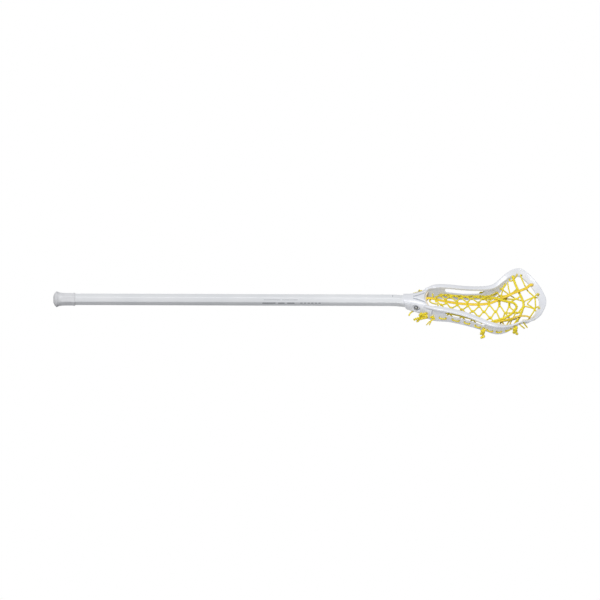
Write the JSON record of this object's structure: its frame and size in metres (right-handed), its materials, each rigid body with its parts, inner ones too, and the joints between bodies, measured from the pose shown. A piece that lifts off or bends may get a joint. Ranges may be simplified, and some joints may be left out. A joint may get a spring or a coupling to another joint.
{
  "type": "lacrosse stick",
  "caption": "Women's lacrosse stick: octagonal shaft with rubber end cap and a moulded offset head strung with a laced pocket for catching and throwing a ball.",
  "frame": {"origin": "centre of the flat end face of the butt cap", "axes": "+X along the shaft from the butt to the tip of the scoop, +Z out of the open face of the head, +Y across the head"},
  "size_m": [1.092, 0.1873, 0.0693],
  "materials": {
    "shaft_composite": "satin white lacquer over a composite tube",
    "cap_rubber": "matt white rubber",
    "head_plastic": "smooth white moulded nylon",
    "pad_foam": "matt closed-cell foam",
    "screw_steel": "zinc plated",
    "thong": "thick woven nylon thong",
    "lace": "braided nylon lace",
    "shooting_string": "thick twisted nylon cord"
  },
  "bodies": {
    "stick": {"shaft": "shaft_composite", "head_frame": "head_plastic", "ball_stop_pad": "pad_foam", "centre_thong": "thong", "side_thong": "thong", "cross_lace": "lace", "lower_shooting_string": "shooting_string", "upper_shooting_string": "shooting_string", "sidewall_string_left": "lace", "sidewall_string_right": "lace", "top_string": "lace", "throat_string": "lace", "throat_tie_left": "shooting_string", "throat_tie_right": "shooting_string", "rail_tie_left": "lace", "rail_tie_right": "lace"},
    "end_cap": {"butt_end_cap": "cap_rubber"},
    "washer": {"screw_washer": "screw_steel"},
    "screw": {"head_screw": "screw_steel"}
  },
  "joints": [
    {"name": "end_cap_pull", "type": "slide", "parent": "stick", "child": "end_cap", "axis": [-1, 0, 0], "range_m": [0, 0.046]},
    {"name": "screw_back_out", "type": "slide", "parent": "stick", "child": "washer", "axis": [0, -1, 0], "range_m": [0, 0.0112]},
    {"name": "screw_turn", "type": "hinge", "parent": "washer", "child": "screw", "pos_m": [0.803, -0.02, -0.005], "axis": [0, -1, 0], "range_deg": [0, 2880]}
  ],
  "couplings": [
    {"joint": "screw_turn", "follows": "screw_back_out", "rad_per_m": 4488}
  ]
}
